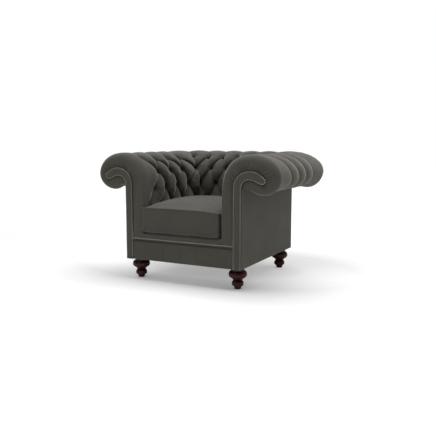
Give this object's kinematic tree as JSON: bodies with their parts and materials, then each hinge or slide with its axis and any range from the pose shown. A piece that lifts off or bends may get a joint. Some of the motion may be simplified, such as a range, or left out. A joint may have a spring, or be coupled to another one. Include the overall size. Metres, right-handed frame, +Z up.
{
  "type": "chesterfield armchair",
  "caption": "Low-backed chesterfield armchair with deep-buttoned rolled arms and back, a loose seat cushion, nailed arm facings and turned wooden feet.",
  "frame": {"origin": "on the floor, under the middle of the chair's overall box", "axes": "+X towards the right arm as seen from the front, +Y towards the back, +Z up"},
  "size_m": [1.178, 1.007, 0.7599],
  "materials": {
    "cloth": "matt woven wool-like upholstery cloth, warm dark grey",
    "lining": "black cambric and tape",
    "foam": "cream upholstery foam and wadding",
    "hardwood": "planed, unfinished beech",
    "mahogany": "dark red-brown stain under gloss lacquer",
    "steel": "plain spring steel and zinc-plated bolts",
    "nail": "aged pewter-coloured domed nails, satin"
  },
  "bodies": {
    "chair": {"side_seat_rail_left": "hardwood", "side_seat_rail_right": "hardwood", "arm_tack_rail_left": "hardwood", "arm_tack_rail_right": "hardwood", "arm_top_rail_left": "hardwood", "arm_top_rail_right": "hardwood", "front_post_left": "hardwood", "front_post_right": "hardwood", "rear_post_left": "hardwood", "rear_post_right": "hardwood", "front_seat_rail": "hardwood", "rear_seat_rail": "hardwood", "back_tack_rail": "hardwood", "back_top_rail": "hardwood", "corner_block_front_left": "hardwood", "corner_block_front_right": "hardwood", "corner_block_rear_left": "hardwood", "corner_block_rear_right": "hardwood", "arm_lining_left": "lining", "arm_lining_right": "lining", "back_lining": "lining", "dust_cover": "lining", "arm_roll_core_left": "foam", "arm_roll_core_right": "foam", "back_roll_core": "foam", "seat_deck": "foam", "arm_pad_left": "cloth", "arm_pad_right": "cloth", "back_pad": "cloth", "arm_border_left": "cloth", "arm_border_right": "cloth", "arm_facing_left": "cloth", "arm_facing_right": "cloth", "outside_arm_panel_left": "cloth", "outside_arm_panel_right": "cloth", "outside_back_panel": "cloth", "front_rail_cover": "cloth", "front_lip_pad": "cloth", "arm_nail_trim_left": "nail", "arm_nail_trim_right": "nail", "front_nail_trim": "nail", "seat_spring_1": "steel", "seat_spring_2": "steel", "seat_spring_3": "steel", "seat_spring_4": "steel", "seat_spring_5": "steel", "hanger_bolt_front_left": "steel", "hanger_bolt_front_right": "steel", "hanger_bolt_rear_left": "steel", "hanger_bolt_rear_right": "steel", "foot_front_left": "mahogany", "foot_front_right": "mahogany", "foot_rear_left": "mahogany", "foot_rear_right": "mahogany"},
    "cushion": {"seat_cushion": "cloth", "cushion_core": "foam", "cushion_zip": "lining"}
  },
  "joints": [
    {"name": "cushion_lift", "type": "slide", "parent": "chair", "child": "cushion", "axis": [0, 0, 1], "range_m": [0, 0.5]}
  ]
}
